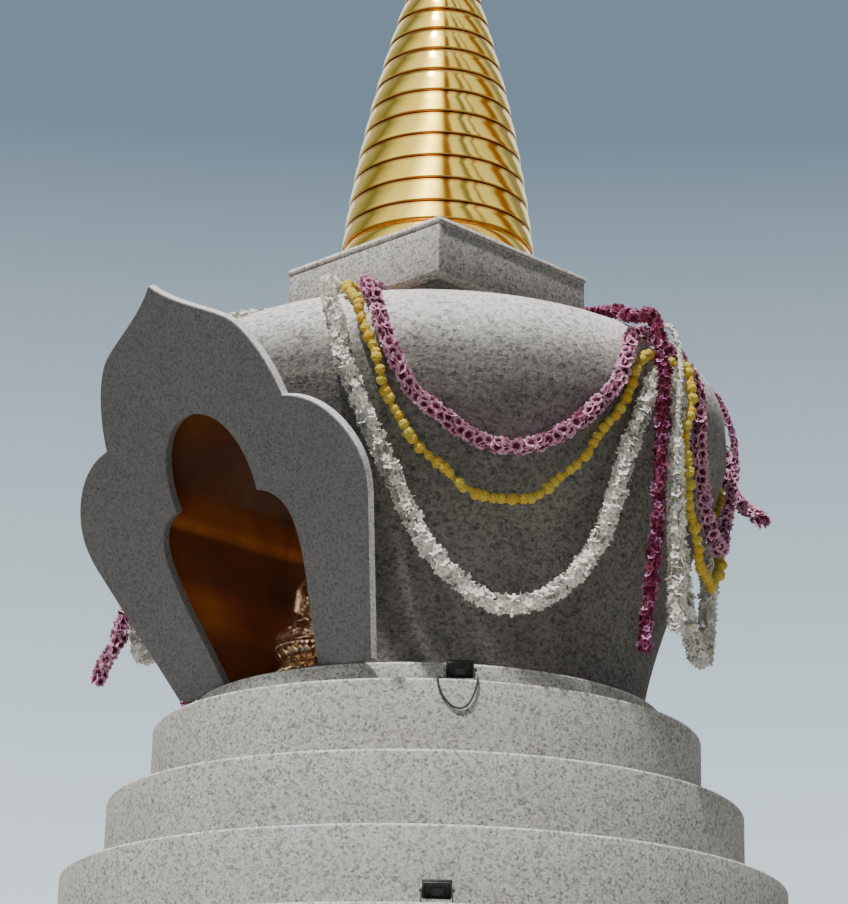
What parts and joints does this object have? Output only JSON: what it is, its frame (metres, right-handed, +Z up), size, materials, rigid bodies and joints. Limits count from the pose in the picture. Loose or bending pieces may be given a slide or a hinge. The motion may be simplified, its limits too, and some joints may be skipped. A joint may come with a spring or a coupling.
{
  "type": "granite stupa with a niche slab and a gilded ring spire",
  "caption": "Tibetan-style granite stupa: square throne, round steps, flared dome with a glazed multifoil niche, square harmika, gilded ring spire.",
  "frame": {"origin": "centre of the foot of the lowest square step, at ground level", "axes": "+Z up, -Y the way the niche looks, +X to the right of a person facing the niche"},
  "size_m": [4.7, 4.7, 8.8046],
  "materials": {
    "granite": "light grey speckled granite, fine sawn",
    "dome_granite": "light grey granite, bush hammered and rain stained",
    "slab_granite": "grey speckled granite, honed",
    "spire_gold": "polished gilt copper",
    "statue_gold": "gilt bronze",
    "amber_glass": "clear pane in front of an amber lining",
    "lamp_black": "black powder coat",
    "cable_black": "black rubber sheath",
    "white_flowers": "strung white flowers",
    "yellow_flowers": "strung yellow flowers",
    "pink_flowers": "strung pink flowers with dark centres",
    "maroon_flowers": "strung dark red flowers"
  },
  "bodies": {
    "root": {"ground_step_lower": "granite", "ground_step_upper": "granite", "throne_foot_lower": "granite", "throne_foot_upper": "granite", "throne_body": "granite", "cornice_lower": "granite", "cornice_upper": "granite", "cornice_slab": "granite", "round_step_lowest": "granite", "round_step_lower": "granite", "round_step_middle": "granite", "round_step_upper": "granite", "dome_ring": "granite", "dome": "dome_granite", "niche_slab": "slab_granite", "niche_cabinet": "slab_granite", "niche_glass": "amber_glass", "statue_lotus_base": "statue_gold", "statue_figure": "statue_gold", "harmika_neck_lower": "granite", "harmika_neck_upper": "granite", "harmika_block": "granite", "harmika_cover_slab": "granite", "spire_lip": "spire_gold", "spire_ring_01": "spire_gold", "spire_ring_02": "spire_gold", "spire_ring_03": "spire_gold", "spire_ring_04": "spire_gold", "spire_ring_05": "spire_gold", "spire_ring_06": "spire_gold", "spire_ring_07": "spire_gold", "spire_ring_08": "spire_gold", "spire_ring_09": "spire_gold", "spire_ring_10": "spire_gold", "spire_ring_11": "spire_gold", "spire_ring_12": "spire_gold", "spire_ring_13": "spire_gold", "parasol": "spire_gold", "crescent_moon": "spire_gold", "sun_disc": "spire_gold", "jewel": "spire_gold", "upper_lamp_bracket": "lamp_black", "upper_lamp_case": "lamp_black", "lower_lamp_bracket": "lamp_black", "lower_lamp_case": "lamp_black", "garland_white_right": "white_flowers", "garland_yellow_right": "yellow_flowers", "garland_pink_right": "pink_flowers", "tail_maroon_right": "maroon_flowers", "tail_white_right": "white_flowers", "garland_white_left": "white_flowers", "garland_yellow_left": "yellow_flowers", "garland_pink_left": "pink_flowers", "tail_maroon_left": "maroon_flowers", "tail_white_left": "white_flowers", "tail_pink_front_left": "pink_flowers", "tail_pink_back_right": "pink_flowers", "upper_lamp_cable": "cable_black"}
  },
  "joints": []
}
